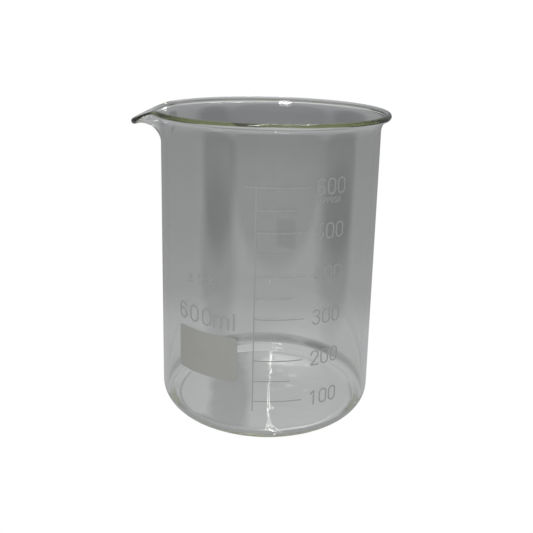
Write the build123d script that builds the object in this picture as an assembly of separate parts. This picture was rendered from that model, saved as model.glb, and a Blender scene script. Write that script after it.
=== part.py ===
from build123d import *
import math
import os

# A low-form laboratory beaker in borosilicate glass. Millimetres, +Z up.
# The origin is on the beaker's axis, on the flat underside. The spout points
# along -X and the printed scale faces -Y. "Azimuth" is degrees from -Y
# towards +X, as seen from above, and "along" is arc length on the wall.

# ---------------------------------------------------------------- glass
BODY_RADIUS = 45.0          # outside of the straight wall
WALL = 1.6
BASE_THICKNESS = 2.2
HEEL_RADIUS = 8.5           # outside curve from wall to underside
INNER_HEEL_RADIUS = 3.2
STEP_ML = 100.0             # from one full mark to the next
FULL_MARKS = 6
FREEBOARD = 23.3            # from the highest mark to the top of the rim

RIM_RADIUS = 48.9           # outside of the bead, away from the spout
RIM_TURN = 58.0             # degrees that the lip turns outwards from the wall
BEAD_RADIUS = 1.3           # fire-polished bead on the edge of the lip

SPOUT_REACH = 57.6          # axis to the outside of the spout's tip
SPOUT_TURN = 105.0          # the tip turns past level, so that it drips cleanly
SPOUT_DROP = 5.0            # tip of the spout below the rim
SPOUT_HALF_WIDTH = 23.0     # along the wall, from the spout's middle to the plain lip
SPOUT_SHARPNESS = 4.0       # power of the cosine that narrows the spout's tip
SPOUT_SECTIONS = 17
SPOUT_AZIMUTH = -90.0
SPOUT_FOOT = 4.85           # straight wall that is shaped with the spout, below its bend
SEAM_TOLERANCE = 0.002      # the smooth spout meets the turned glass this closely

# ---------------------------------------------------------------- enamel
ENAMEL = 0.1                # thickness of the print on the glass
STEM_ALONG = -4.65          # the scale's vertical line
STEM_WIDTH = 0.45
STEM_TAIL = 4.3             # the line runs this far below the lowest mark
MARK_WIDTH = 0.4
FULL_MARK_LENGTH = 19.2     # from the middle of the line
HALF_MARK_LENGTH = 14.3
TOP_MARK_OVERHANG = 4.4     # the highest mark crosses the line

NUMERAL_HEIGHT = 6.3
NUMERAL_WIDTH = 3.6
NUMERAL_PITCH = 4.45
NUMERAL_STROKE = 0.6
NUMERAL_GAP = 3.2           # from the end of a full mark to its numeral

NOTE_HEIGHT = 2.4
NOTE_WIDTH = 1.25
NOTE_PITCH = 1.6
NOTE_STROKE = 0.28
NOTE_GAP = 0.9              # below the highest numeral

PATCH_LEFT = -38.6
PATCH_WIDTH = 27.7
PATCH_HEIGHT = 18.2
PATCH_BOTTOM = 26.3
PATCH_CORNER = 1.5

CAPACITY_HEIGHT = 7.1
CAPACITY_WIDTH = 4.5
CAPACITY_PITCH = 6.15
CAPACITY_STROKE = 0.75
CAPACITY_GAP = 2.9          # above the patch
UNIT_SPACE = 0.9            # extra space between the figures and the unit

TOLERANCE_HEIGHT = 4.2
TOLERANCE_WIDTH = 2.8
TOLERANCE_PITCH = 5.0
TOLERANCE_STROKE = 0.45
TOLERANCE_GAP = 9.0         # above the capacity figures

# ---------------------------------------------------------------- worked out
BORE_RADIUS = BODY_RADIUS - WALL
BORE_AREA = math.pi * BORE_RADIUS**2
# The rounded inner heel takes this much from a plain cylinder (Pappus).
FILLET_AREA = INNER_HEEL_RADIUS**2 * (1 - math.pi / 4)
FILLET_CENTROID = INNER_HEEL_RADIUS * (1 - (1 / 6) / (1 - math.pi / 4))
HEEL_LOSS = 2 * math.pi * (BORE_RADIUS - FILLET_CENTROID) * FILLET_AREA


def level(volume_ml):
    """Height of the liquid's surface for a volume in the beaker."""
    return BASE_THICKNESS + (volume_ml * 1000 + HEEL_LOSS) / BORE_AREA


TOP_MARK_Z = level(FULL_MARKS * STEP_ML)
HEIGHT = TOP_MARK_Z + FREEBOARD
SPOUT_HALF_ANGLE = math.degrees(SPOUT_HALF_WIDTH / BODY_RADIUS)
# The bead is a circle through both corners of the wall's end, so its centre is past the end.
PAST_END = math.sqrt(BEAD_RADIUS**2 - (WALL / 2) ** 2)


def mix(low, high, weight):
    return low + (high - low) * weight


def lip_bend(weight):
    """The lip's turn, and the radius and centre of its bend; weight is 1 at the spout's tip."""
    turn = math.radians(mix(RIM_TURN, SPOUT_TURN, weight))
    reach = mix(RIM_RADIUS, SPOUT_REACH, weight)
    middle = BODY_RADIUS - WALL / 2
    end_r = reach - BEAD_RADIUS - PAST_END * math.sin(turn)
    end_z = HEIGHT - SPOUT_DROP * weight - BEAD_RADIUS - PAST_END * math.cos(turn)
    bend = (end_r - middle) / (1 - math.cos(turn))
    return turn, bend, middle + bend, end_z - bend * math.sin(turn)


# The lip and spout are shaped on this much of the wall's end, and the cup is below it.
LIP_BASE_Z = lip_bend(1)[3] - SPOUT_FOOT


# ---------------------------------------------------------------- the glass
def upright(azimuth):
    """The plane through the axis at an azimuth: local x outwards, local y up."""
    a = math.radians(azimuth)
    outwards = (math.sin(a), -math.cos(a), 0)
    across = (-math.cos(a), -math.sin(a), 0)
    return Plane(origin=(0, 0, 0), x_dir=outwards, z_dir=across)


def lip_section(weight):
    """Wall, flare and bead in one outline; weight is 0 on the plain lip, 1 at the tip."""
    turn, bend, centre_r, centre_z = lip_bend(weight)
    half = WALL / 2

    def on_bend(radius, angle):
        return (centre_r - radius * math.cos(angle), centre_z + radius * math.sin(angle))

    end_r, end_z = on_bend(bend, turn)
    tip = PAST_END + BEAD_RADIUS
    bead_tip = (end_r + tip * math.sin(turn), end_z + tip * math.cos(turn))
    outer_foot = (BODY_RADIUS, LIP_BASE_Z)
    inner_foot = (BORE_RADIUS, LIP_BASE_Z)
    outer = [on_bend(bend - half, turn * k / 2) for k in range(3)]
    inner = [on_bend(bend + half, turn * k / 2) for k in range(3)]
    return [
        Line(outer_foot, outer[0]),
        ThreePointArc(*outer),
        ThreePointArc(outer[2], bead_tip, inner[2]),
        ThreePointArc(*reversed(inner)),
        Line(inner[0], inner_foot),
        Line(inner_foot, outer_foot),
    ]


def spout_weight(offset):
    """Share of the spout's shape at so many degrees from its middle."""
    share = min(abs(offset) / SPOUT_HALF_ANGLE, 1.0)
    return math.cos(share * math.pi / 2) ** SPOUT_SHARPNESS


def lip_face(azimuth, weight):
    return upright(azimuth) * make_face(lip_section(weight))


def make_cup():
    """Base, heel and straight wall, up to where the lip's own part begins. Its seam and
    the lip's are both under the spout, so that the joined wall has one seam."""
    outline = make_face([
        Line((0, 0), (BODY_RADIUS - HEEL_RADIUS, 0)),
        RadiusArc((BODY_RADIUS - HEEL_RADIUS, 0), (BODY_RADIUS, HEEL_RADIUS), -HEEL_RADIUS),
        Line((BODY_RADIUS, HEEL_RADIUS), (BODY_RADIUS, LIP_BASE_Z)),
        Line((BODY_RADIUS, LIP_BASE_Z), (BORE_RADIUS, LIP_BASE_Z)),
        Line((BORE_RADIUS, LIP_BASE_Z), (BORE_RADIUS, BASE_THICKNESS + INNER_HEEL_RADIUS)),
        RadiusArc(
            (BORE_RADIUS, BASE_THICKNESS + INNER_HEEL_RADIUS),
            (BORE_RADIUS - INNER_HEEL_RADIUS, BASE_THICKNESS),
            INNER_HEEL_RADIUS,
        ),
        Line((BORE_RADIUS - INNER_HEEL_RADIUS, BASE_THICKNESS), (0, BASE_THICKNESS)),
        Line((0, BASE_THICKNESS), (0, 0)),
    ])
    return revolve(upright(SPOUT_AZIMUTH) * outline, axis=Axis.Z)


def make_plain_lip():
    """The flared lip, all the way round except for the spout."""
    start = lip_face(SPOUT_AZIMUTH + SPOUT_HALF_ANGLE, 0)
    return revolve(start, axis=Axis.Z, revolution_arc=360 - 2 * SPOUT_HALF_ANGLE)


def make_spout():
    """The lip drawn out over the spout, through sections fanned about the axis."""
    wires = []
    for k in range(SPOUT_SECTIONS):
        offset = mix(-SPOUT_HALF_ANGLE, SPOUT_HALF_ANGLE, k / (SPOUT_SECTIONS - 1))
        face = lip_face(SPOUT_AZIMUTH + offset, spout_weight(offset))
        wires.append(face.faces()[0].outer_wire())
    return Solid.make_loft(wires)


# ---------------------------------------------------------------- the print
def azimuth_at(along):
    return math.degrees(along / BODY_RADIUS)


def wall_strip(left, right, bottom, top):
    """A rectangle of enamel that follows the wall."""
    outline = make_face(Polyline(
        (BODY_RADIUS, bottom), (BODY_RADIUS + ENAMEL, bottom),
        (BODY_RADIUS + ENAMEL, top), (BODY_RADIUS, top), (BODY_RADIUS, bottom),
    ))
    start = upright(azimuth_at(left)) * outline
    return revolve(start, axis=Axis.Z, revolution_arc=azimuth_at(right - left))


def enamel_skin(bottom, top):
    """The layer of enamel all round the wall, from which figures are cut."""
    outside = Cylinder(BODY_RADIUS + ENAMEL, top - bottom)
    inside = Cylinder(BODY_RADIUS, top - bottom)
    return Pos(0, 0, (bottom + top) / 2) * (outside - inside)


# Each character is a list of pen strokes in a box w wide and h high. A stroke
# is a Line or a ThreePointArc along the middle of the pen's line.
def arc(centre, radius, start, end):
    """Pen stroke along a circle, by angles in degrees from its right-hand side."""
    points = []
    for angle in (start, (start + end) / 2, end):
        a = math.radians(angle)
        points.append((centre[0] + radius * math.cos(a), centre[1] + radius * math.sin(a)))
    return ThreePointArc(*points)


def zero(w, h):
    r = w / 2
    return [arc((r, h - r), r, 0, 180), Line((0, h - r), (0, r)),
            arc((r, r), r, 180, 360), Line((w, r), (w, h - r))]


def one(w, h):
    stem = 0.6 * w
    return [Line((stem, 0), (stem, h)), Line((stem, h), (0.15 * w, 0.8 * h))]


def two(w, h):
    r = w / 2
    turn = math.radians(35)
    shoulder = (r + r * math.cos(turn), h - r - r * math.sin(turn))
    return [arc((r, h - r), r, 180, -35), Line(shoulder, (0, 0)), Line((0, 0), (w, 0))]


def three(w, h):
    low = w / 2
    high = h / 2 - low
    return [arc((low, h - high), high, 155, -90), arc((low, low), low, 90, -155)]


def four(w, h):
    post = 0.75 * w
    return [Line((post, 0), (post, h)), Line((post, h), (0, 0.3 * h)),
            Line((0, 0.3 * h), (w, 0.3 * h))]


def five(w, h):
    r = w / 2
    turn = math.radians(135)
    shoulder = (r + r * math.cos(turn), r + r * math.sin(turn))
    return [Line((0.9 * w, h), (0.2 * w, h)), Line((0.2 * w, h), shoulder),
            arc((r, r), r, 135, -150)]


def six(w, h):
    r = w / 2
    return [arc((r, r), r, 0, 180), arc((r, r), r, 180, 360),
            Line((0, r), (0, h - r)), arc((r, h - r), r, 180, 30)]


def seven(w, h):
    return [Line((0, h), (w, h)), Line((w, h), (0.3 * w, 0))]


def eight(w, h):
    low = w / 2
    high = h / 2 - low
    return [arc((low, low), low, 90, 270), arc((low, low), low, 270, 450),
            arc((low, h - high), high, 90, 270), arc((low, h - high), high, 270, 450)]


def nine(w, h):
    r = w / 2
    return [arc((r, h - r), r, 0, 180), arc((r, h - r), r, 180, 360),
            Line((w, h - r), (w, r)), arc((r, r), r, 0, -150)]


def letter_m(w, h):
    top = 0.72 * h
    r = w / 4
    strokes = [Line((0, 0), (0, top))]
    for start in (0, 2 * r):
        strokes.append(arc((start + r, top - r), r, 180, 0))
        strokes.append(Line((start + 2 * r, top - r), (start + 2 * r, 0)))
    return strokes


def letter_l(w, h):
    return [Line((0, 0), (0, h))]


def letter_a(w, h):
    return [Line((0, 0), (w / 2, h)), Line((w / 2, h), (w, 0)),
            Line((0.18 * w, 0.36 * h), (0.82 * w, 0.36 * h))]


def letter_p(w, h):
    r = h / 4
    return [Line((0, 0), (0, h)), Line((0, h), (w - r, h)),
            arc((w - r, h - r), r, 90, -90), Line((w - r, h - 2 * r), (0, h - 2 * r))]


def letter_r(w, h):
    return letter_p(w, h) + [Line((w / 2, h / 2), (w, 0))]


def letter_x(w, h):
    return [Line((0, 0), (w, h)), Line((0, h), (w, 0))]


def plus_minus(w, h):
    middle = 0.6 * h
    return [Line((0, middle), (w, middle)), Line((w / 2, middle - w / 2), (w / 2, middle + w / 2)),
            Line((0, 0), (w, 0))]


def percent(w, h):
    r = 0.3 * w
    rings = []
    for centre in ((r, h - r), (1.3 * w - r, r)):
        rings += [arc(centre, r, 0, 180), arc(centre, r, 180, 360)]
    return rings + [Line((0.2 * w, 0), (1.1 * w, h))]


DIGITS = dict(zip("0123456789", (zero, one, two, three, four, five, six, seven, eight, nine)))


def character(strokes, pen, along, bottom, skin):
    """One character of enamel, wrapped on the wall with its left edge at along."""
    flat = Sketch() + [SlotArc(stroke, pen) for stroke in strokes]
    box = flat.bounding_box()
    middle = (box.min.X + box.max.X) / 2
    a = math.radians(azimuth_at(along + middle + pen / 2))
    outwards = (math.sin(a), -math.cos(a), 0)
    plane = Plane(
        origin=(0, 0, bottom + pen / 2), x_dir=(math.cos(a), math.sin(a), 0), z_dir=outwards
    )
    start = plane.offset(BODY_RADIUS - WALL)
    block = extrude(start * Pos(-middle, 0) * flat, 2 * WALL)
    return block & skin


def write_line(glyphs, width, height, pitch, pen, left, bottom):
    """A row of characters, each its own solid; left and bottom are the print's edges."""
    skin = enamel_skin(bottom - 1, bottom + height + 1)
    solids = []
    along = left
    for glyph in glyphs:
        strokes = glyph(width - pen, height - pen)
        solids += character(strokes, pen, along, bottom, skin).solids()
        along += pitch
    return solids


def numeral(volume_ml):
    """A three-digit numeral, level with its mark and just right of its end."""
    glyphs = [DIGITS[digit] for digit in str(round(volume_ml))]
    left = STEM_ALONG + FULL_MARK_LENGTH + NUMERAL_GAP
    bottom = level(volume_ml) - NUMERAL_HEIGHT / 2
    return write_line(
        glyphs, NUMERAL_WIDTH, NUMERAL_HEIGHT, NUMERAL_PITCH, NUMERAL_STROKE, left, bottom
    )


def accuracy_note():
    """The small word under the highest numeral."""
    glyphs = [letter_a, letter_p, letter_p, letter_r, zero, letter_x]
    left = STEM_ALONG + FULL_MARK_LENGTH + NUMERAL_GAP + 2 * NUMERAL_STROKE
    bottom = TOP_MARK_Z - NUMERAL_HEIGHT / 2 - NOTE_GAP - NOTE_HEIGHT
    return write_line(glyphs, NOTE_WIDTH, NOTE_HEIGHT, NOTE_PITCH, NOTE_STROKE, left, bottom)


def capacity():
    """The nominal capacity in large figures over the marking patch, with its unit."""
    figures = [DIGITS[digit] for digit in str(round(FULL_MARKS * STEP_ML))]
    bottom = PATCH_BOTTOM + PATCH_HEIGHT + CAPACITY_GAP
    solids = write_line(
        figures, CAPACITY_WIDTH, CAPACITY_HEIGHT, CAPACITY_PITCH, CAPACITY_STROKE,
        PATCH_LEFT, bottom,
    )
    unit_left = PATCH_LEFT + len(figures) * CAPACITY_PITCH - UNIT_SPACE
    unit_m_width = 1.5 * CAPACITY_WIDTH
    solids += write_line(
        [letter_m], unit_m_width, CAPACITY_HEIGHT, CAPACITY_PITCH, CAPACITY_STROKE,
        unit_left, bottom,
    )
    solids += write_line(
        [letter_l], CAPACITY_WIDTH, CAPACITY_HEIGHT, CAPACITY_PITCH, CAPACITY_STROKE,
        unit_left + unit_m_width + 2 * CAPACITY_STROKE, bottom,
    )
    return solids


def tolerance():
    """The scale's accuracy, in small figures over the capacity."""
    bottom = PATCH_BOTTOM + PATCH_HEIGHT + CAPACITY_GAP + CAPACITY_HEIGHT + TOLERANCE_GAP
    return write_line(
        [plus_minus, five, percent], TOLERANCE_WIDTH, TOLERANCE_HEIGHT, TOLERANCE_PITCH,
        TOLERANCE_STROKE, PATCH_LEFT + TOLERANCE_PITCH, bottom,
    )


def marking_patch():
    """The matt rectangle for writing on, with rounded corners."""
    strip = wall_strip(
        PATCH_LEFT, PATCH_LEFT + PATCH_WIDTH, PATCH_BOTTOM, PATCH_BOTTOM + PATCH_HEIGHT
    )
    corners = [edge for edge in strip.edges() if edge.length < 2 * ENAMEL]
    return fillet(corners, PATCH_CORNER)


# ---------------------------------------------------------------- the nodes
def glass_body():
    """Cup, lip and spout as the one piece of glass that they are."""
    cup = make_cup().solid()
    lip = make_plain_lip().solid()
    return cup.fuse(lip, make_spout(), tol=SEAM_TOLERANCE).solids()


def make_nodes():
    """Every node by name; marks and numerals are numbered from the lowest up."""
    nodes = {"glass_body": glass_body()}
    stem_left = STEM_ALONG - STEM_WIDTH / 2
    stem_right = STEM_ALONG + STEM_WIDTH / 2
    nodes["scale_stem"] = wall_strip(
        stem_left, stem_right, level(STEP_ML) - STEM_TAIL, TOP_MARK_Z - MARK_WIDTH / 2
    ).solids()
    for k in range(2, 2 * FULL_MARKS + 1):
        volume = k * STEP_ML / 2
        full = k % 2 == 0
        z = level(volume)
        top = k == 2 * FULL_MARKS
        left = STEM_ALONG - TOP_MARK_OVERHANG if top else stem_right
        right = STEM_ALONG + (FULL_MARK_LENGTH if full else HALF_MARK_LENGTH)
        strip = wall_strip(left, right, z - MARK_WIDTH / 2, z + MARK_WIDTH / 2)
        nodes[f"mark_{k - 1}"] = strip.solids()
        if full:
            nodes[f"numeral_{k // 2}"] = numeral(volume)
    nodes["accuracy_note"] = accuracy_note()
    nodes["capacity_figures"] = capacity()
    nodes["tolerance_figures"] = tolerance()
    nodes["marking_patch"] = marking_patch().solids()
    return nodes


os.makedirs("parts", exist_ok=True)
for name, solids in make_nodes().items():
    shape = solids[0] if len(solids) == 1 else Compound(children=list(solids))
    export_step(shape, f"parts/{name}.step")
    print(name, len(solids), [round(v, 2) for v in shape.bounding_box().size])
print("height", round(HEIGHT, 2), "top mark", round(TOP_MARK_Z, 2))
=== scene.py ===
# %% [markdown]
# # A laboratory beaker in clear glass
#
# A beaker is one thin piece of blown glass: a flat base, a rounded heel, a
# straight wall, a lip turned outwards with a melted, rounded edge, and a spout
# pulled out of the lip. White enamel is printed on the wall and fired on. This
# notebook takes the measured model as a fixed frame, makes the glass again as a
# fine mesh by rule, and gives the glass and the enamel their finishes.

import math

import bpy
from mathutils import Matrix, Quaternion, Vector


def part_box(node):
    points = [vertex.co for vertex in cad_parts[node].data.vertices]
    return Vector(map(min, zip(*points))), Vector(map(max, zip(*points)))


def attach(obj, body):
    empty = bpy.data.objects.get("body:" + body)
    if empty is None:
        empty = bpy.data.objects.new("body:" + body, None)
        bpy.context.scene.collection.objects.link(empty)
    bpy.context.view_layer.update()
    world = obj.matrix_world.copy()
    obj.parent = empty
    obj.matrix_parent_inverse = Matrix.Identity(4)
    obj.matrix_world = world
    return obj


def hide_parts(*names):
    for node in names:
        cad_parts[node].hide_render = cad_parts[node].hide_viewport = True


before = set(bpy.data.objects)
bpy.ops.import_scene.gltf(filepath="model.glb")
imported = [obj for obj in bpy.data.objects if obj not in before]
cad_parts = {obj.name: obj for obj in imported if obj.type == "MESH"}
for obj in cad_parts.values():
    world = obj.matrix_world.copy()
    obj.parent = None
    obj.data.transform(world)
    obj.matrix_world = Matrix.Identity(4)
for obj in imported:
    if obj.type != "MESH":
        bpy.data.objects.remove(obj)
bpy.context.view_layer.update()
print("pieces in the frame:", len(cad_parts))

# %% [markdown]
# Everything here is in metres. The frame gives the beaker's outer sizes: how
# high it is, how far its spout and rim reach. The sizes that a box can't show,
# such as how thick the wall is, are the glassmaker's own and are named here.

# %% Sizes
MM = 0.001
glass_low, glass_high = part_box("glass_body")
SIZES = {
    "Body Radius": 45.0 * MM,
    "Wall": 1.6 * MM,
    "Base": 2.2 * MM,
    "Heel": 8.5 * MM,
    "Inner Heel": 3.2 * MM,
    "Height": glass_high.z,
    "Rim Radius": glass_high.y,
    "Rim Turn": math.radians(58.0),
    "Bead": 1.3 * MM,
    "Spout Reach": -glass_low.x,
    "Spout Turn": math.radians(105.0),
    "Spout Drop": 5.0 * MM,
    "Spout Half Angle": 23.0 / 45.0,
    "Spout Sharpness": 4.0,
}
print("height", round(SIZES["Height"], 4), "spout", round(SIZES["Spout Reach"], 4))

# %% [markdown]
# ## Writing node maths as Python
#
# A node tree that works out a shape or a pattern soon holds dozens of Math
# nodes. Two small classes make them readable. Maker adds any node in one call:
# its settings first, then the values or links of its sockets. Wire holds one
# output of a node, and its `+`, `*` and so on each add the Math node they mean.

# %% A maker of nodes
class Maker:
    """Adds nodes to one tree."""

    def __init__(self, tree):
        self.tree = tree

    def add(self, kind, settings=None, values=None, output=0):
        """Adds a node and returns one of its outputs, or the node if it has none."""
        node = self.tree.nodes.new(kind)
        for name, value in (settings or {}).items():
            if name == "stops":
                set_stops(node.color_ramp, value)
            elif name == "choices":
                set_choices(node.index_switch_items, value)
            else:
                setattr(node, name, value)
        for key, value in (values or {}).items():
            if isinstance(value, Wire):
                self.tree.links.new(value.socket, node.inputs[key])
            else:
                node.inputs[key].default_value = value
        return Wire(self, node.outputs[output]) if len(node.outputs) else node

    def maths(self, operation, *values, clamp=False):
        """Adds one Math node. With clamp its result stays between 0 and 1."""
        settings = {"operation": operation, "use_clamp": clamp}
        return self.add("ShaderNodeMath", settings, dict(enumerate(values)))

    def split(self, vector):
        """The X, Y and Z of a vector as three wires."""
        node = self.tree.nodes.new("ShaderNodeSeparateXYZ")
        self.tree.links.new(vector.socket, node.inputs[0])
        return [Wire(self, socket) for socket in node.outputs]


# %% Settings that are lists
def set_stops(color_ramp, stops):
    """Makes a ramp pass smoothly through stops of position and grey."""
    color_ramp.interpolation = "EASE"
    while len(color_ramp.elements) < len(stops):
        color_ramp.elements.new(1.0)
    for element, (position, grey) in zip(color_ramp.elements, stops):
        element.position = position
        element.color = (grey, grey, grey, 1.0)


def set_choices(items, count):
    """Gives a switch this many inputs."""
    while len(items) < count:
        items.new()


# %% A wire that does arithmetic
class Wire:
    """One output of a node."""

    def __init__(self, maker, socket):
        self.maker, self.socket = maker, socket

    def __add__(self, other):
        return self.maker.maths("ADD", self, other)

    def __sub__(self, other):
        return self.maker.maths("SUBTRACT", self, other)

    def __rsub__(self, other):
        return self.maker.maths("SUBTRACT", other, self)

    def __mul__(self, other):
        return self.maker.maths("MULTIPLY", self, other)

    def __truediv__(self, other):
        return self.maker.maths("DIVIDE", self, other)

    def __pow__(self, other):
        return self.maker.maths("POWER", self, other)

    def __neg__(self):
        return self.maker.maths("MULTIPLY", self, -1.0)

    __radd__ = __add__
    __rmul__ = __mul__


# %% Short names for common maths
def sine(x):
    return x.maker.maths("SINE", x)


def cosine(x):
    return x.maker.maths("COSINE", x)


def smaller(x, y):
    return x.maker.maths("MINIMUM", x, y)


def larger(x, y):
    return x.maker.maths("MAXIMUM", x, y)


def clamped_product(x, y):
    """x times y, kept between 0 and 1."""
    return x.maker.maths("MULTIPLY", x, y, clamp=True)


def mix(low, high, share):
    """low where share is 0 and high where it is 1."""
    return low + (high - low) * share


def length(x, y):
    return (x * x + y * y) ** 0.5


# %% [markdown]
# ## The glass
#
# The body is round except for its spout, so its shape follows one rule: an
# outline that turns about the axis, and changes its lip as it passes the
# spout. Geometry Nodes can say that rule once. The tree starts from a flat
# grid. Each column of the grid becomes one azimuth and each row one place on
# the outline, which has nine stretches: underside, heel, outer wall, the lip's
# outside bend, its melted edge, its inside bend, inner wall, inner heel and
# base. Every stretch is worked out, and a switch picks the one that a row is
# on.
#
# Most rows lie on bends, where straight faces would show. The wall needs none
# in between, but the rows are shared out evenly because that keeps the rule
# simple, and the mesh stays small all the same.

# %% How fine the mesh is
STRETCHES = 9
STEPS_ROUND = 384           # faces round the wall
ROWS_A_STRETCH = 12         # rows of faces on each stretch of the outline
SAME_POINT = 0.01 * MM      # points closer than this are merged
print("rows on the outline:", STRETCHES * ROWS_A_STRETCH)


# %% From the grid to a turn and a place on the outline
ROW_NUDGE = 0.0001          # makes a row on the border of two stretches belong to the later one


def grid_place(make, position):
    """Turn, 0 to 1 round the axis; the stretch's number; and 0 to 1 along the stretch."""
    across, up, _ = make.split(position)
    turn = across + 0.5
    place = (up + 0.5) * STRETCHES
    whole = make.maths("FLOOR", place + ROW_NUDGE)
    stretch = smaller(whole, STRETCHES - 1.0)
    return turn, stretch, place - stretch


# %% [markdown]
# At the spout the lip turns further, reaches further and drops. How much of the
# spout a column has is a power of a cosine, which gives a rounded tip with
# hollow flanks.

# %% How much of the spout a column has
def spout_share(round_angle, size):
    """1 in the middle of the spout, at angle 0, and 0 on the plain lip."""
    offset = smaller(round_angle, 2 * math.pi - round_angle)
    share = smaller(offset / size["Spout Half Angle"], 1.0)
    return cosine(share * (math.pi / 2)) ** size["Spout Sharpness"]


# %% [markdown]
# The lip is a bend of the wall with a bead at its end. Softened glass draws
# itself into that bead, so the wall keeps its thickness until close to the
# edge and then swells quickly. That sharp swell is also what catches light and
# draws the thin dark line inside a real rim.

# %% The lip's bend and its melted edge
BEAD_SWELL = 6.0            # how late the wall starts to swell into the bead


class Lip:
    """The lip at one azimuth. Its points are pairs of radius and height."""

    def __init__(self, size, share):
        self.wall, self.bead = size["Wall"], size["Bead"]
        self.turn = mix(size["Rim Turn"], size["Spout Turn"], share)
        self.bead_r = mix(size["Rim Radius"], size["Spout Reach"], share) - self.bead
        self.bead_z = size["Height"] - size["Spout Drop"] * share - self.bead
        middle = size["Body Radius"] - self.wall * 0.5
        self.bend = (self.bead_r - middle) / (1.0 - cosine(self.turn))
        self.centre_r = middle + self.bend
        self.centre_z = self.bead_z - self.bend * sine(self.turn)

    def on_bend(self, progress, side):
        """progress is 1 at the bead; side is -1 on the outside and 1 on the inside."""
        half = mix(self.wall * 0.5, self.bead, progress ** BEAD_SWELL)
        radius = self.bend + half * side
        angle = self.turn * progress
        return self.centre_r - radius * cosine(angle), self.centre_z + radius * sine(angle)

    def on_edge(self, along):
        """Half a turn round the bead, from the lip's outside to its inside."""
        angle = (self.turn - math.pi / 2) * -1.0 - (math.pi / 2) + along * math.pi
        return self.bead_r + self.bead * cosine(angle), self.bead_z + self.bead * sine(angle)


# %% The nine stretches of the outline
def outline(size, lip, along):
    """Radius and height on each stretch, from the underside round to the base."""
    body, bore = size["Body Radius"], size["Body Radius"] - size["Wall"]
    heel, inner_heel, base = size["Heel"], size["Inner Heel"], size["Base"]
    angle = along * (math.pi / 2)
    zero = along * 0.0
    inner_top = base + inner_heel
    return [
        ((body - heel) * along, zero),
        (body - heel + heel * sine(angle), heel - heel * cosine(angle)),
        (body + zero, mix(heel, lip.centre_z, along)),
        lip.on_bend(along, -1.0),
        lip.on_edge(along),
        lip.on_bend(1.0 - along, 1.0),
        (bore + zero, mix(lip.centre_z, inner_top, along)),
        (bore - inner_heel + inner_heel * cosine(angle), inner_top - inner_heel * sine(angle)),
        ((bore - inner_heel) * (1.0 - along), base + zero),
    ]


# %% [markdown]
# The tree's sizes are named inputs, so another beaker needs only other numbers.
# The rows of the two discs end on the axis and the last column lies on the
# first, and Merge by Distance closes both. The spout points along -X, and the
# columns run the way that makes the faces point outwards.

# %% The tree's inputs
def group_inputs(tree):
    """Names the tree's inputs and returns them as wires."""
    tree.interface.new_socket("Geometry", in_out="INPUT", socket_type="NodeSocketGeometry")
    tree.interface.new_socket("Geometry", in_out="OUTPUT", socket_type="NodeSocketGeometry")
    kinds = {name: "NodeSocketFloat" for name in SIZES}
    kinds.update({"Steps Round": "NodeSocketInt", "Rows": "NodeSocketInt"})
    kinds["Glass"] = "NodeSocketMaterial"
    for name, kind in kinds.items():
        tree.interface.new_socket(name, in_out="INPUT", socket_type=kind)
    group = tree.nodes.new("NodeGroupInput")
    return {socket.name: Wire(Maker(tree), socket) for socket in group.outputs if socket.name}


# %% The rule of the glass as a node tree
def glass_tree():
    tree = bpy.data.node_groups.new("turned_glass", "GeometryNodeTree")
    tree.is_modifier = True
    size = group_inputs(tree)
    make = Maker(tree)

    columns, rows = size["Steps Round"] + 1, size["Rows"] * STRETCHES + 1
    grid = make.add("GeometryNodeMeshGrid", None, {"Vertices X": columns, "Vertices Y": rows})
    turn, stretch, along = grid_place(make, make.add("GeometryNodeInputPosition"))
    round_angle = turn * (2 * math.pi)
    lip = Lip(size, spout_share(round_angle, size))

    spots = {"Index": stretch}
    for number, (r, z) in enumerate(outline(size, lip, along), 1):
        x, y = r * cosine(round_angle) * -1.0, r * sine(round_angle) * -1.0
        spots[number] = make.add("ShaderNodeCombineXYZ", None, {"X": x, "Y": y, "Z": z})
    settings = {"data_type": "VECTOR", "choices": STRETCHES}
    spot = make.add("GeometryNodeIndexSwitch", settings, spots)

    shape = make.add("GeometryNodeSetPosition", None, {"Geometry": grid, "Position": spot})
    values = {"Geometry": shape, "Distance": SAME_POINT}
    shape = make.add("GeometryNodeMergeByDistance", None, values)
    shape = make.add("GeometryNodeSetShadeSmooth", None, {0: shape})
    shape = make.add("GeometryNodeRealizeInstances", None, {"Geometry": shape})
    values = {"Geometry": shape, "Material": size["Glass"]}
    shape = make.add("GeometryNodeSetMaterial", None, values)
    make.add("NodeGroupOutput", None, {0: shape})
    print("nodes in the tree:", len(tree.nodes))
    return tree


# %% [markdown]
# A modifier's inputs are set by each socket's identifier. The evaluated result
# is copied to a plain mesh, so what is left is an ordinary object.

# %% Run a tree and keep its mesh
def plain_mesh(name, tree, inputs):
    """Runs a node tree with these inputs and returns the result as a plain object."""
    source = bpy.data.objects.new(name + "_source", bpy.data.meshes.new(name + "_source"))
    bpy.context.scene.collection.objects.link(source)
    modifier = source.modifiers.new("rule", "NODES")
    modifier.node_group = tree
    sockets = {item.name: item.identifier for item in tree.interface.items_tree
               if item.in_out == "INPUT"}
    for key, value in inputs.items():
        modifier[sockets[key]] = value
    depsgraph = bpy.context.evaluated_depsgraph_get()
    depsgraph.update()
    mesh = bpy.data.meshes.new_from_object(source.evaluated_get(depsgraph))
    bpy.data.objects.remove(source)
    piece = bpy.data.objects.new(name, mesh)
    bpy.context.scene.collection.objects.link(piece)
    print(name, "has", len(mesh.polygons), "faces")
    return piece


# %% An empty material and its maker
def new_material(name):
    material = bpy.data.materials.new(name)
    material.use_nodes = True
    material.node_tree.nodes.clear()
    return material, Maker(material.node_tree)


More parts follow.
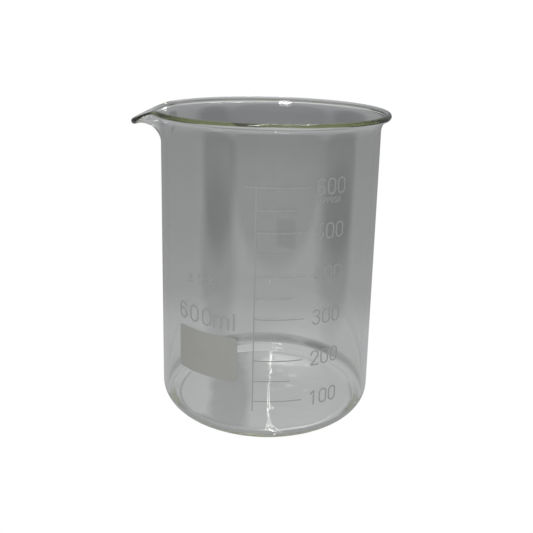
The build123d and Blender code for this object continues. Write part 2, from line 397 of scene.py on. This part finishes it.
# %% [markdown]
# ## Finish of the glass
#
# Borosilicate glass bends light a little less than window glass. It is nearly
# colourless through the thin wall, and olive where light runs a long way
# through it, as in the melted edge, so its colour belongs in the volume and
# not on the surface.
#
# Blown glass is never quite even: long, faint ripples run round it and make
# straight lines behind it waver, and the pressed base is dimpled. A few smears
# and dust specks dull the surface here and there.

# %% Colour and strength of the glass
GLASS_SURFACE = (0.97, 0.98, 0.965, 1.0)
GLASS_INSIDE = (0.40, 0.47, 0.07, 1.0)      # what is left of white after a long way
GLASS_ABSORPTION = 10.0
GLASS_BENDING = 1.473                       # borosilicate's index of refraction

# %% Unevenness of the glass
RIPPLE_FINENESS = 38.0                      # patterns in each metre
RIPPLE_STRETCH = (1.0, 1.0, 0.35)           # ripples run up the wall
DIMPLE_FINENESS = 150.0
DIMPLE_SHARE = 0.4
BASE_RIPPLE_TOP = 8.0 * MM                  # dimples fade out up to here
SMEAR_FINENESS = 55.0
SMEAR_HAZE = 0.12
UNEVENNESS = {"Strength": 0.25, "Distance": 0.4 * MM}


def glass_ripple(make, place):
    """The height of the ripples and, near the base, of the dimples."""
    stretched = make.add("ShaderNodeMapping", None, {"Vector": place, "Scale": RIPPLE_STRETCH})
    values = {"Vector": stretched, "Scale": RIPPLE_FINENESS, "Detail": 1.0}
    ripple = make.add("ShaderNodeTexNoise", None, values)
    values = {"Vector": place, "Scale": DIMPLE_FINENESS, "Detail": 0.0}
    dimple = make.add("ShaderNodeTexNoise", None, values)
    height = make.split(place)[2]
    near_base = make.maths("MULTIPLY_ADD", height, -1.0 / BASE_RIPPLE_TOP, 1.0, clamp=True)
    return ripple + dimple * near_base * DIMPLE_SHARE


def glass_haze(make, place):
    """Roughness that is nothing nearly everywhere and a little in the smears."""
    values = {"Vector": place, "Scale": SMEAR_FINENESS, "Detail": 6.0}
    smear = make.add("ShaderNodeTexNoise", None, values) - 0.5
    return make.maths("MULTIPLY", smear * smear, SMEAR_HAZE, clamp=True)


# %% Glass material
def glass_material():
    material, make = new_material("borosilicate_glass")
    place = make.add("ShaderNodeTexCoord", output="Object")
    bump = make.add("ShaderNodeBump", None, {**UNEVENNESS, "Height": glass_ripple(make, place)})
    surface = make.add("ShaderNodeBsdfPrincipled", None, {
        "Base Color": GLASS_SURFACE, "Roughness": glass_haze(make, place),
        "IOR": GLASS_BENDING, "Transmission Weight": 1.0, "Normal": bump,
    })
    values = {"Color": GLASS_INSIDE, "Density": GLASS_ABSORPTION}
    inside = make.add("ShaderNodeVolumeAbsorption", None, values)
    make.add("ShaderNodeOutputMaterial", None, {"Surface": surface, "Volume": inside})
    return material


# %% Make the glass
glass = plain_mesh("glass_vessel", glass_tree(), {
    **SIZES, "Steps Round": STEPS_ROUND, "Rows": ROWS_A_STRETCH, "Glass": glass_material(),
})
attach(glass, "root")
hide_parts("glass_body")

# %% [markdown]
# ## Finish of the print
#
# The enamel is a ceramic paste pushed through a screen and fired. It has a fine
# grain, thin spots where the screen gave less, and a dull skin. The patch is
# rougher than the scale, so that a pencil marks it. The real enamel is white;
# the mid-grey colours given to it below are painted shade for the dim light on it.

# %% Grain of the enamel
PATCHINESS = 160.0                          # thin spots in each metre
SHADES = (0.88, 1.08)                       # from the thinnest spots to the thickest
ROUGHNESS_SPREAD = 0.1
GRAIN_HEIGHT = {"Strength": 0.4, "Distance": 0.04 * MM}


# %% Enamel material
def enamel_material(name, colour, roughness, grain):
    material, make = new_material(name)
    place = make.add("ShaderNodeTexCoord", output="Object")
    fine = make.add("ShaderNodeTexNoise", None, {"Vector": place, "Scale": grain, "Detail": 4.0})
    patchy = make.add("ShaderNodeTexNoise", None, {"Vector": place, "Scale": PATCHINESS})
    shade = mix(*SHADES, fine * 0.5 + patchy * 0.5)
    settings = {"operation": "SCALE"}
    tint = make.add("ShaderNodeVectorMath", settings, {0: colour, "Scale": shade})
    bump = make.add("ShaderNodeBump", None, {**GRAIN_HEIGHT, "Height": fine})
    shader = make.add("ShaderNodeBsdfPrincipled", None, {
        "Base Color": tint, "Normal": bump,
        "Roughness": mix(roughness - ROUGHNESS_SPREAD, roughness + ROUGHNESS_SPREAD, fine),
    })
    make.add("ShaderNodeOutputMaterial", None, {"Surface": shader})
    return material


# %% Dress the print
# Painted shade: the enamel is white, and these mid-grey colours stand in for the dim light on
# it.
SCALE_ENAMEL = enamel_material("scale_enamel", (0.410, 0.416, 0.392), 0.55, 4000.0)
MARKING_ENAMEL = enamel_material("marking_enamel", (0.430, 0.438, 0.398), 0.8, 6000.0)
printed = {name: node for name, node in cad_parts.items() if name != "glass_body"}
for name, node in printed.items():
    node.data.materials.clear()
    node.data.materials.append(MARKING_ENAMEL if name == "marking_patch" else SCALE_ENAMEL)
print("printed pieces:", len(printed))

# %% [markdown]
# ## The studio
#
# Glass has almost no look of its own: it shows what stands around it. To the
# eye the floor and the background are a plain white. What the glass bends and
# mirrors is a grey room: a pale table, darker with distance, with soft dark
# shapes on it, a light wall behind the eye, and bright cards for highlights.
#
# The floor gives out its own white light, so that no shadow greys it, and only
# the eye sees it. The glass sees the room's table in its place.

# %% The white floor
FLOOR_HALF = 4.0


def stage_material(name):
    material, make = new_material(name)
    values = {"Color": (1.0, 1.0, 1.0, 1.0), "Strength": 1.0}
    white = make.add("ShaderNodeEmission", None, values)
    make.add("ShaderNodeOutputMaterial", None, {"Surface": white})
    return material


def studio_floor(half):
    mesh = bpy.data.meshes.new("studio_floor")
    corners = [(-half, -half, 0), (half, -half, 0), (half, half, 0), (-half, half, 0)]
    mesh.from_pydata(corners, [], [(0, 1, 2, 3)])
    mesh.materials.append(stage_material("studio_floor"))
    floor = bpy.data.objects.new("studio_floor", mesh)
    bpy.context.scene.collection.objects.link(floor)
    floor.visible_diffuse = floor.visible_glossy = floor.visible_transmission = False


studio_floor(FLOOR_HALF)
print("floor", 2 * FLOOR_HALF, "m across")

# %% [markdown]
# The room is a function of direction alone. Across and drop are where a
# direction meets an upright plane one unit behind the beaker, so a soft disc
# there is a soft shape behind the glass.

# %% The table and the shapes on it
# Brightness of the table by its drop below the eye's level, near the horizon first.
TABLE = [(0.08, 0.28), (0.16, 0.28), (0.27, 0.30), (0.37, 0.33), (0.45, 0.43), (0.65, 0.48)]
# Soft shapes: where across, how far down, half width, half height, how much
# brightness is left in the middle, and how soft the edge is.
SHAPES = [
    (0.012, -0.18, 0.078, 0.170, 0.82, 0.16),
    (-0.089, -0.20, 0.030, 0.135, 0.70, 0.45),
    (-0.090, -0.34, 0.034, 0.130, 0.78, 0.50),
    (0.130, -0.20, 0.040, 0.145, 0.72, 0.40),
    (0.128, -0.32, 0.040, 0.120, 0.78, 0.50),
    (0.010, -0.12, 0.130, 0.060, 0.86, 0.80),
    (0.000, -0.46, 0.080, 0.120, 0.88, 0.90),
    (0.045, -0.48, 0.055, 0.045, 1.25, 0.90),
    (-0.060, -0.56, 0.034, 0.085, 0.66, 0.45),
]
print("soft shapes:", len(SHAPES))

# %% The rest of the room
FRONT_WALL = 0.35                           # brightness behind the eye
CEILING = 0.4                               # brightness straight overhead
WINDOW = ((0.04, 0.47), (0.05, 0.04), 0.3)  # its middle, its half sizes, its softness
WINDOW_BRIGHTNESS = 1.2
NEARLY_SIDEWAYS = 0.05                      # keeps the plane behind the beaker finite
NEARLY_UPRIGHT = 0.001


# %% A soft disc
def soft_disc(across, drop, centre, radii, softness):
    """1 inside an ellipse and 0 outside it, with a soft edge."""
    x, y = (across - centre[0]) / radii[0], (drop - centre[1]) / radii[1]
    inside = (1.0 - length(x, y)) / softness + 0.5
    return clamped_product(inside, 1.0)


# %% How bright the room is in each direction
def room_brightness(make):
    x, y, z = make.split(make.add("ShaderNodeTexCoord", output="Generated"))
    slope = z / larger(length(x, y), NEARLY_UPRIGHT)
    room = make.add("ShaderNodeValToRGB", {"stops": TABLE}, {0: -slope})
    depth = larger(y, NEARLY_SIDEWAYS)
    across, drop = x / depth, z / depth
    for centre_x, centre_y, half_width, half_height, left, softness in SHAPES:
        centre, radii = (centre_x, centre_y), (half_width, half_height)
        disc = soft_disc(across, drop, centre, radii, softness)
        room = room * (1.0 - disc * (1.0 - left))
    front = clamped_product(-y, FRONT_WALL)
    above = clamped_product(z, CEILING)
    return room + front + above + soft_disc(across, drop, *WINDOW) * WINDOW_BRIGHTNESS


# %% [markdown]
# The Light Path node tells the eye's own rays from all others. The first see
# plain white and the others see the room.

# %% The world: white to the eye, grey to the glass
WHITE = (1.0, 1.0, 1.0, 1.0)
ROOM_TINT = (0.99, 0.99, 1.03, 1.0)


def studio_world():
    world = bpy.data.worlds.new("studio")
    bpy.context.scene.world = world
    world.use_nodes = True
    world.node_tree.nodes.clear()
    make = Maker(world.node_tree)
    direct = make.add("ShaderNodeLightPath", output="Is Camera Ray")
    seen = make.add("ShaderNodeBackground", None, {"Color": WHITE, "Strength": 1.0})
    values = {"Color": ROOM_TINT, "Strength": room_brightness(make)}
    bent = make.add("ShaderNodeBackground", None, values)
    either = make.add("ShaderNodeMixShader", None, {0: direct, 1: bent, 2: seen})
    make.add("ShaderNodeOutputWorld", None, {"Surface": either})
    print("nodes in the world:", len(world.node_tree.nodes))


studio_world()

# %% [markdown]
# Cards are soft rectangular lights. Two thin strips far behind are mirrored in
# the base as a wavering streak, a card above them lights the lip from behind,
# and one above the eye puts a highlight on the back of the rim.

# %% Bright cards
# Name, place, width, height, power in watts, and sideways lean in degrees.
CARDS = [
    ("strip_behind", (0.013, 1.2, 0.66), 0.0012, 0.40, 0.05, 0.0),
    ("strip_leaning", (0.008, 1.2, 0.735), 0.0014, 0.15, 0.02, 2.5),
    ("card_above", (0.10, 0.55, 0.95), 0.30, 0.10, 2.0, 0.0),
    ("card_front", (-0.12, -0.25, 0.76), 0.10, 0.16, 1.3, 25.0),
]


def card(name, place, width, height, power, lean):
    """A soft light that faces the middle of the beaker."""
    light = bpy.data.lights.new(name, "AREA")
    light.shape = "RECTANGLE"
    light.size, light.size_y, light.energy = width, height, power
    lamp = bpy.data.objects.new(name, light)
    lamp.location = place
    middle = Vector((0, 0, SIZES["Height"] / 2))
    facing = (middle - Vector(place)).to_track_quat("-Z", "Y")
    lamp.rotation_euler = (facing @ Quaternion((0, 0, 1), math.radians(lean))).to_euler()
    bpy.context.scene.collection.objects.link(lamp)


for row in CARDS:
    card(*row)
print("cards:", len(CARDS))

# %% [markdown]
# ## Camera
#
# The beaker is seen from close by and from above its rim, so that the eye looks
# down into it and its base shows as a wide ellipse while the rim stays narrow.

# %% Camera
CAMERA_PLACE = (0.0, -0.2967, 0.1614)
CAMERA_PITCH = 0.2454                       # radians, downwards
CAMERA_YAW = -0.0094
CAMERA_ROLL = -0.0228
LENS_MM = 48.77
SENSOR_MM = 36.0
SHIFT = -0.12

camera_data = bpy.data.cameras.new("camera")
camera_data.sensor_width = SENSOR_MM
camera_data.lens = LENS_MM
camera_data.shift_y = SHIFT
camera_data.clip_start = 0.01
camera = bpy.data.objects.new("camera", camera_data)
camera.location = CAMERA_PLACE
camera.rotation_euler = (math.pi / 2 - CAMERA_PITCH, CAMERA_ROLL, -CAMERA_YAW)
bpy.context.scene.collection.objects.link(camera)
bpy.context.scene.camera = camera
bpy.context.scene.view_settings.view_transform = "Standard"
print("lens", LENS_MM, "mm")

# %% [markdown]
# Light that enters the melted edge or the heel is caught in the thin wall and
# bounces along it many times before it leaves, and that long way is what turns
# those edges olive. With few bounces they would stay black.

# %% Bounces inside the glass
BOUNCES = 96
cycles = bpy.context.scene.cycles
cycles.max_bounces = cycles.glossy_bounces = cycles.transmission_bounces = BOUNCES
print("bounces", cycles.max_bounces)
